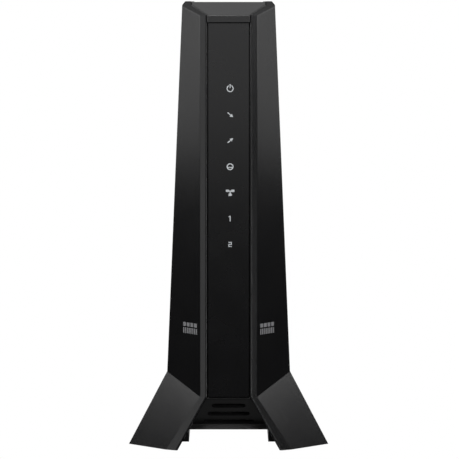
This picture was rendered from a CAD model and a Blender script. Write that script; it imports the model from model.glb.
"""Looks of the tower cable modem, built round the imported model. Metres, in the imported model's frame:
+Z is up, the front faces -Y, and the connectors face +Y."""

import math

import bmesh
import bpy
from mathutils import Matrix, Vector


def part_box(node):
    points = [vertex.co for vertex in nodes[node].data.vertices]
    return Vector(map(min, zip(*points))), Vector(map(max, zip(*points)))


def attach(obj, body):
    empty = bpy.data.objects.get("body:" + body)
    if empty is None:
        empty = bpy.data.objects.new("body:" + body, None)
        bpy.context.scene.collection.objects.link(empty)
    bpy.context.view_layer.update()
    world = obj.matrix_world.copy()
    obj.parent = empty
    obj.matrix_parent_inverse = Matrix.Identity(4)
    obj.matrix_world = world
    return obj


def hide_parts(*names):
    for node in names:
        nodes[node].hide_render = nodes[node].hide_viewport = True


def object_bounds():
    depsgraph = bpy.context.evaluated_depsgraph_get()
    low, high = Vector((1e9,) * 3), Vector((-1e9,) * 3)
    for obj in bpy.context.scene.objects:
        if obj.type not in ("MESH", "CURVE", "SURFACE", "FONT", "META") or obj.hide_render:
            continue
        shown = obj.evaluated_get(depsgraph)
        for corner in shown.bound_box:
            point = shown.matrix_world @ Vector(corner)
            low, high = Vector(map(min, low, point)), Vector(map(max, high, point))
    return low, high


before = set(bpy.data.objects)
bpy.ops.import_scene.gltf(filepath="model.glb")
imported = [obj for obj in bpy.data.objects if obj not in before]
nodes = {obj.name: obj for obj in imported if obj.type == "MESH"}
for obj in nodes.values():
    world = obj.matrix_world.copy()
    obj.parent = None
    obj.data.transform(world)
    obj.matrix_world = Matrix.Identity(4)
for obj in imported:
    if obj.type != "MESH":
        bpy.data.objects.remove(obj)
cad_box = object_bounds()

MM = 0.001
WHITE = (1.0, 1.0, 1.0, 1.0)
BLACK = (0.0, 0.0, 0.0, 1.0)


# ---------------------------------------------------------------- camera, floor and lights


def aim(obj, target):
    """Turns an object's -Z axis towards a point."""
    obj.rotation_euler = (Vector(target) - obj.location).to_track_quat("-Z", "Y").to_euler()


SENSOR_WIDTH = 36.0
LENS = 198.93
CAMERA_DISTANCE = 1.4
CAMERA_X = 0.0005
CAMERA_Z = 0.2499
AIM_Z = 0.12429


def make_camera():
    """Long lens, level with the top of the case and tipped down to its middle."""
    low = cad_box[0]
    data = bpy.data.cameras.new("camera")
    data.sensor_width = SENSOR_WIDTH
    data.lens = LENS
    camera = bpy.data.objects.new("camera", data)
    bpy.context.scene.collection.objects.link(camera)
    camera.location = (CAMERA_X, low.y - CAMERA_DISTANCE, CAMERA_Z)
    aim(camera, (CAMERA_X, low.y, AIM_Z))
    bpy.context.scene.camera = camera


# Soft boxes: place, the point faced, width, height and brightness.
SOFT_BOXES = {
    "left_side": ((-0.40, 0.155, 0.50), (0.0, 0.155, 0.50), 0.40, 0.72, 0.91),
    "right_side": ((0.40, 0.155, 0.50), (0.0, 0.155, 0.50), 0.40, 0.72, 0.88),
    "left_leg": ((-0.40, -0.15, 0.40), (0.0, -0.15, 0.40), 0.20, 0.40, 3.2),
    "right_leg": ((0.40, -0.15, 0.40), (0.0, -0.15, 0.40), 0.20, 0.40, 3.0),
    "left_strip": ((-0.39, -0.363, 0.15), (0.0, -0.065, 0.15), 0.12, 0.9, 1.15),
    "right_strip": ((0.39, -0.363, 0.50), (0.0, -0.065, 0.50), 0.12, 0.6, 0.66),
    "low_right": ((0.36, -0.53, -0.02), (0.0, -0.07, 0.05), 0.08, 0.34, 7.3),
    "front": ((0.0, -0.62, 0.48), (0.0, -0.075, 0.48), 0.5, 0.7, 0.74),
    "foot_glint": ((0.0, -0.58, 0.46), (0.0, -0.075, 0.03), 0.024, 0.24, 14.0),
    "key": ((-0.07, -0.26, 0.50), (0.0, -0.07, 0.24), 0.14, 0.24, 6.0),
    "rear": ((0.10, 0.85, 0.02), (0.0, 0.075, 0.12), 0.7, 0.7, 0.7),
    "above": ((0.0, 0.55, 0.95), (0.0, -0.06, 0.24), 0.9, 0.5, 0.48),
}


def make_soft_boxes():
    """Area lamps from the table. A lamp's power is its brightness spread over its own area."""
    for name, (place, target, width, height, brightness) in SOFT_BOXES.items():
        data = bpy.data.lights.new(name, "AREA")
        data.shape = "RECTANGLE"
        data.size = width
        data.size_y = height
        data.energy = brightness * math.pi * width * height
        light = bpy.data.objects.new(name, data)
        bpy.context.scene.collection.objects.link(light)
        light.location = place
        aim(light, target)
        light.visible_camera = False


# Light from the sky and from the ground, and the heights (-1 to 1) between which each one fades.
SKY_LOW = 0.012
SKY_HIGH = 0.4
SKY_FADE = (0.4, 0.95)
GROUND = 0.075
GROUND_FADE = (-0.5, -0.95)


def make_world():
    """Seen by the camera the world is white. As light it is a soft sky that fades out towards the
    horizon, and a dimmer ground that fades out the same way from below."""
    world = bpy.data.worlds.new("world")
    world.use_nodes = True
    tree = world.node_tree
    links = tree.links
    output = tree.nodes["World Output"]
    sky = tree.nodes["Background"]
    place = tree.nodes.new("ShaderNodeTexCoord")
    split = tree.nodes.new("ShaderNodeSeparateXYZ")
    fade = tree.nodes.new("ShaderNodeMapRange")
    fade.interpolation_type = "SMOOTHSTEP"
    fade.inputs["From Min"].default_value, fade.inputs["From Max"].default_value = SKY_FADE
    fade.inputs["To Min"].default_value = SKY_LOW
    fade.inputs["To Max"].default_value = SKY_HIGH
    links.new(place.outputs["Generated"], split.inputs["Vector"])
    links.new(split.outputs["Z"], fade.inputs["Value"])
    below = tree.nodes.new("ShaderNodeMapRange")
    below.interpolation_type = "SMOOTHSTEP"
    below.inputs["From Min"].default_value, below.inputs["From Max"].default_value = GROUND_FADE
    below.inputs["To Max"].default_value = GROUND
    links.new(split.outputs["Z"], below.inputs["Value"])
    total = tree.nodes.new("ShaderNodeMath")
    links.new(fade.outputs["Result"], total.inputs[0])
    links.new(below.outputs["Result"], total.inputs[1])
    sky.inputs["Color"].default_value = WHITE
    links.new(total.outputs["Value"], sky.inputs["Strength"])
    backdrop = tree.nodes.new("ShaderNodeBackground")
    path = tree.nodes.new("ShaderNodeLightPath")
    mix = tree.nodes.new("ShaderNodeMixShader")
    links.new(path.outputs["Is Camera Ray"], mix.inputs["Fac"])
    links.new(sky.outputs["Background"], mix.inputs[1])
    links.new(backdrop.outputs["Background"], mix.inputs[2])
    links.new(mix.outputs["Shader"], output.inputs["Surface"])
    backdrop.inputs["Color"].default_value = WHITE
    bpy.context.scene.world = world
    bpy.context.scene.view_settings.view_transform = "Standard"


FLOOR_HALF = 6
FLOOR_DROP = 0.0002


def make_floor():
    """Plain white floor that shows no shadow and throws no light back up."""
    mesh = bpy.data.meshes.new("floor")
    corners = [(-FLOOR_HALF, -FLOOR_HALF, 0), (FLOOR_HALF, -FLOOR_HALF, 0),
               (FLOOR_HALF, FLOOR_HALF, 0), (-FLOOR_HALF, FLOOR_HALF, 0)]
    mesh.from_pydata(corners, [], [(0, 1, 2, 3)])
    floor = bpy.data.objects.new("floor", mesh)
    bpy.context.scene.collection.objects.link(floor)
    floor.location.z = cad_box[0].z - FLOOR_DROP
    floor.visible_diffuse = False
    floor.visible_glossy = False
    floor.visible_shadow = False
    material = bpy.data.materials.new("floor_white")
    material.use_nodes = True
    shader = material.node_tree.nodes["Principled BSDF"]
    shader.inputs["Base Color"].default_value = BLACK
    shader.inputs["Specular IOR Level"].default_value = 0.0
    shader.inputs["Emission Color"].default_value = WHITE
    shader.inputs["Emission Strength"].default_value = 1.0
    mesh.materials.append(material)


make_camera()
make_soft_boxes()
make_world()
make_floor()


# ---------------------------------------------------------------- materials


BUMP_STRENGTH = 0.6
GLOSS_SPREAD = 0.03


def look(name, colour, roughness, metallic=0.0, grain=0.4, depth=0.02, stretch=(1.0, 1.0, 1.0),
         tone=0.15, broad=18.0, transmission=0.0):
    """Surface with a fine grain and a broader drift of tone and gloss.

    grain is the size of the texture and depth its height, in mm. stretch draws the grain out along an
    axis when its number is below 1. broad is the size of the drift in mm and tone its strength."""
    material = bpy.data.materials.new(name)
    material.use_nodes = True
    tree = material.node_tree
    links = tree.links
    shader = tree.nodes["Principled BSDF"]
    shader.inputs["Metallic"].default_value = metallic
    shader.inputs["Transmission Weight"].default_value = transmission
    place = tree.nodes.new("ShaderNodeTexCoord")
    drawn = tree.nodes.new("ShaderNodeMapping")
    drawn.inputs["Scale"].default_value = stretch
    links.new(place.outputs["Object"], drawn.inputs["Vector"])
    fine = tree.nodes.new("ShaderNodeTexNoise")
    fine.inputs["Scale"].default_value = 1.0 / (grain * MM)
    fine.inputs["Detail"].default_value = 3.0
    links.new(drawn.outputs["Vector"], fine.inputs["Vector"])
    bump = tree.nodes.new("ShaderNodeBump")
    bump.inputs["Distance"].default_value = depth * MM
    bump.inputs["Strength"].default_value = BUMP_STRENGTH
    links.new(fine.outputs["Fac"], bump.inputs["Height"])
    links.new(bump.outputs["Normal"], shader.inputs["Normal"])
    drift = tree.nodes.new("ShaderNodeTexNoise")
    drift.inputs["Scale"].default_value = 1.0 / (broad * MM)
    drift.inputs["Detail"].default_value = 4.0
    links.new(place.outputs["Object"], drift.inputs["Vector"])
    gloss = tree.nodes.new("ShaderNodeMapRange")
    gloss.inputs["To Min"].default_value = roughness - GLOSS_SPREAD
    gloss.inputs["To Max"].default_value = roughness + GLOSS_SPREAD
    links.new(drift.outputs["Fac"], gloss.inputs["Value"])
    links.new(gloss.outputs["Result"], shader.inputs["Roughness"])
    mixed = tree.nodes.new("ShaderNodeMix")
    mixed.data_type = "RGBA"
    mixed.inputs["A"].default_value = tuple((1.0 - tone) * c for c in colour) + (1.0,)
    mixed.inputs["B"].default_value = tuple(min(1.0, (1.0 + tone) * c) for c in colour) + (1.0,)
    links.new(drift.outputs["Fac"], mixed.inputs["Factor"])
    links.new(mixed.outputs["Result"], shader.inputs["Base Color"])
    return material


COPPER_PITCH = 3.5
COPPER_EDGE = (0.55, 0.62)
COPPER_GREEN = (0.02, 0.16, 0.06, 1.0)


def board_look():
    """Green solder mask with paler copper runs under it."""
    material = look("board_green_look", (0.006, 0.075, 0.028), 0.3, grain=0.8, depth=0.01)
    tree = material.node_tree
    links = tree.links
    shader = tree.nodes["Principled BSDF"]
    base = shader.inputs["Base Color"].links[0].from_socket
    place = tree.nodes.new("ShaderNodeTexCoord")
    runs = tree.nodes.new("ShaderNodeTexVoronoi")
    runs.distance = "MANHATTAN"
    runs.feature = "F1"
    runs.inputs["Scale"].default_value = 1.0 / (COPPER_PITCH * MM)
    links.new(place.outputs["Object"], runs.inputs["Vector"])
    edge = tree.nodes.new("ShaderNodeMapRange")
    edge.inputs["From Min"].default_value, edge.inputs["From Max"].default_value = COPPER_EDGE
    links.new(runs.outputs["Distance"], edge.inputs["Value"])
    copper = tree.nodes.new("ShaderNodeMix")
    copper.data_type = "RGBA"
    copper.inputs["B"].default_value = COPPER_GREEN
    links.new(edge.outputs["Result"], copper.inputs["Factor"])
    links.new(base, copper.inputs["A"])
    links.new(copper.outputs["Result"], shader.inputs["Base Color"])
    return material


def paint(material, *names):
    """Gives a material to CAD nodes."""
    for name in names:
        mesh = nodes[name].data
        mesh.materials.clear()
        mesh.materials.append(material)


CASE_ROUGHNESS = 0.25
PANEL_ROUGHNESS = 0.27
case_black = look("case_black_look", (0.0075, 0.0075, 0.008), CASE_ROUGHNESS)
base_black = look("base_black_look", (0.012, 0.012, 0.0125), 0.34, grain=0.5)
cap_black = look("cap_black_look", (0.009, 0.009, 0.0095), CASE_ROUGHNESS)
panel_black = look("panel_black_look", (0.006, 0.006, 0.0065), PANEL_ROUGHNESS, grain=0.25,
                   depth=0.006)
icon_white = look("icon_white_look", (0.62, 0.65, 0.67), 0.5, grain=0.2, depth=0.01, tone=0.05)
mark_grey = look("mark_grey_look", (0.26, 0.26, 0.27), 0.45, grain=0.2, depth=0.01, tone=0.08)
screw_black = look("screw_black_look", (0.03, 0.03, 0.032), 0.34, metallic=0.8, grain=0.3)
screw_steel = look("screw_steel_look", (0.55, 0.55, 0.56), 0.3, metallic=1.0, grain=0.3)
board_green = board_look()
chip_black = look("chip_black_look", (0.018, 0.018, 0.02), 0.55, grain=0.15, depth=0.015)
ferrite = look("ferrite_look", (0.045, 0.045, 0.05), 0.6, grain=0.25, depth=0.03)
sleeve = look("capacitor_look", (0.5, 0.51, 0.53), 0.28, metallic=0.9, grain=0.3, depth=0.006,
              stretch=(0.1, 1.0, 1.0))
aluminium = look("aluminium_look", (0.62, 0.62, 0.64), 0.36, metallic=1.0, grain=0.3, depth=0.012,
                 stretch=(1.0, 1.0, 0.05))
silicone = look("silicone_look", (0.4, 0.45, 0.55), 0.6, grain=0.4, depth=0.02, tone=0.08)
tin_plate = look("tin_plate_look", (0.6, 0.6, 0.59), 0.32, metallic=1.0, grain=0.35, depth=0.008,
                 stretch=(1.0, 0.08, 1.0))
led_white = look("led_white_look", (0.8, 0.8, 0.74), 0.4, grain=0.2, depth=0.006, tone=0.04)
clear = look("clear_guide_look", (0.92, 0.95, 0.95), 0.14, grain=1.2, depth=0.004, tone=0.03,
             transmission=0.9)
socket_black = look("socket_black_look", (0.014, 0.014, 0.015), 0.42, grain=0.25)
gold = look("gold_look", (0.8, 0.56, 0.2), 0.25, metallic=1.0, grain=0.2, depth=0.004, tone=0.06)
nickel = look("nickel_look", (0.66, 0.64, 0.6), 0.22, metallic=1.0, grain=0.3, depth=0.004, tone=0.06)
insulator = look("insulator_look", (0.78, 0.77, 0.73), 0.5, grain=0.3, depth=0.008, tone=0.04)
nylon = look("nylon_look", (0.7, 0.7, 0.66), 0.45, grain=0.3, depth=0.008, tone=0.05)
button_black = look("button_black_look", (0.02, 0.02, 0.021), 0.35, grain=0.25, depth=0.01)
label_silver = look("label_silver_look", (0.45, 0.45, 0.46), 0.42, metallic=0.4, grain=0.5, depth=0.006,
                    stretch=(0.1, 1.0, 1.0), tone=0.05)
pad_rubber = look("pad_rubber_look", (0.012, 0.012, 0.012), 0.75, grain=0.3, depth=0.04)

paint(case_black, "left_shell", "right_shell", "rear_panel")
paint(base_black, "base_plate")
paint(cap_black, "top_cap")
paint(panel_black, "front_panel")
paint(icon_white, *[name for name in nodes if name.startswith("icon_")])
paint(mark_grey, "badge_left", "badge_right")
paint(screw_black, "rear_screws", "base_screws")
paint(screw_steel, "board_screws")
paint(board_green, "main_board")
paint(chip_black, "modem_chip", "memory_chips", "phone_chip", "ethernet_transformer")
paint(ferrite, "inductors")
paint(sleeve, "capacitors")
paint(aluminium, "heatsink")
paint(silicone, "thermal_pad")
paint(tin_plate, "tuner_shield")
paint(led_white, "leds")
paint(clear, "light_guide")
paint(socket_black, "ethernet_jack", "phone_jack_1", "phone_jack_2", "dc_jack", "power_switch",
      "reset_switch")
paint(gold, "ethernet_contacts", "phone_contacts", "coax_contact")
paint(nickel, "coax_body", "coax_nut", "coax_washer", "dc_pin")
paint(insulator, "coax_insulator")
paint(nylon, "power_plunger", "reset_button")
paint(button_black, "power_button")
paint(label_silver, "rating_label")
paint(pad_rubber, *[name for name in nodes if name.startswith("foot_pad")])


# ---------------------------------------------------------------- threaded coaxial barrel


# Coaxial barrel. Distances back from its open end, radii and edge breaks, all in mm.
COLLAR_BACK = 14.4
NECK_BACK = 8.4
THREAD_BACK = 6.4
BORE_DEPTH = 15.0
COLLAR_R = 5.6
COLLAR_REAR_R = 5.3
COLLAR_FRONT_R = 5.4
NECK_R = 4.4
CREST_R = 4.763
ROOT_R = 4.35
BLOCK_BEVEL = 0.3
COLLAR_REAR_BREAK = 0.3
COLLAR_FRONT_BREAK = 0.2
END_CHAMFER = 0.4
MOUTH_BREAK = 0.2
THREAD_PITCH = 0.794
# A slope above 1 flattens the thread's crest. The rest are counts, and an angle in degrees.
FLANK_SLOPE = 1.6
SEGMENTS = 72
THREAD_STEPS = 56
SHARP_ANGLE = 35


def thread_radius(depth, turn):
    """Radius of the thread at a depth along its axis and at a fraction of a turn. The crest is flat."""
    phase = (depth / (THREAD_PITCH * MM) - turn) % 1.0
    height = (CREST_R * MM - ROOT_R * MM) * min(1.0, FLANK_SLOPE * (1.0 - abs(2.0 * phase - 1.0)))
    return ROOT_R * MM + height


def coax_barrel():
    """Coaxial connector: a bevelled block, and a collar, neck and threaded barrel on the port's axis."""
    block_low, block_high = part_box("coax_body")
    bore_low, bore_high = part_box("coax_insulator")
    axis_x = (bore_low.x + bore_high.x) / 2
    axis_z = (bore_low.z + bore_high.z) / 2
    bore_r = (bore_high.x - bore_low.x) / 2
    end = block_high.y
    collar_start = end - COLLAR_BACK * MM
    neck_start = end - NECK_BACK * MM
    thread_start = end - THREAD_BACK * MM

    shape = bmesh.new()
    bmesh.ops.create_cube(shape, size=1.0)
    block_size = Vector((block_high.x - block_low.x, collar_start - block_low.y,
                         block_high.z - block_low.z))
    for vert in shape.verts:
        vert.co = Vector((block_low.x + (vert.co.x + 0.5) * block_size.x,
                          block_low.y + (vert.co.y + 0.5) * block_size.y,
                          block_low.z + (vert.co.z + 0.5) * block_size.z))
    bmesh.ops.bevel(shape, geom=shape.edges[:], offset=BLOCK_BEVEL * MM, segments=2, affect="EDGES",
                    profile=0.5)

    # Each ring is a depth and a rule for its radius; the thread's radius depends on the turn as well.
    rings = [(collar_start, COLLAR_REAR_R * MM), (collar_start + COLLAR_REAR_BREAK * MM, COLLAR_R * MM),
             (neck_start - COLLAR_FRONT_BREAK * MM, COLLAR_R * MM), (neck_start, COLLAR_FRONT_R * MM),
             (neck_start, NECK_R * MM), (thread_start, NECK_R * MM)]
    threaded = end - END_CHAMFER * MM - thread_start
    rings += [(thread_start + threaded * n / THREAD_STEPS, None) for n in range(THREAD_STEPS + 1)]
    rings += [(end, ROOT_R * MM), (end, bore_r + MOUTH_BREAK * MM), (end - MOUTH_BREAK * MM, bore_r),
              (end - BORE_DEPTH * MM, bore_r)]
    grid = []
    for depth, radius in rings:
        row = []
        for n in range(SEGMENTS):
            turn = n / SEGMENTS
            r = radius if radius is not None else thread_radius(depth - thread_start, turn)
            angle = 2.0 * math.pi * turn
            place = (axis_x + r * math.cos(angle), depth, axis_z + r * math.sin(angle))
            row.append(shape.verts.new(place))
        grid.append(row)
    for row, following in zip(grid, grid[1:]):
        for n in range(SEGMENTS):
            m = (n + 1) % SEGMENTS
            shape.faces.new((row[n], row[m], following[m], following[n]))
    shape.faces.new(grid[0])
    shape.faces.new(grid[-1][::-1])
    bmesh.ops.recalc_face_normals(shape, faces=shape.faces[:])
    mesh = bpy.data.meshes.new("coax_barrel")
    shape.to_mesh(mesh)
    shape.free()
    mesh.polygons.foreach_set("use_smooth", [True] * len(mesh.polygons))
    mesh.set_sharp_from_angle(angle=math.radians(SHARP_ANGLE))
    mesh.materials.append(nickel)
    barrel = bpy.data.objects.new("coax_barrel", mesh)
    bpy.context.scene.collection.objects.link(barrel)
    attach(barrel, "case")
    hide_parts("coax_body")


coax_barrel()
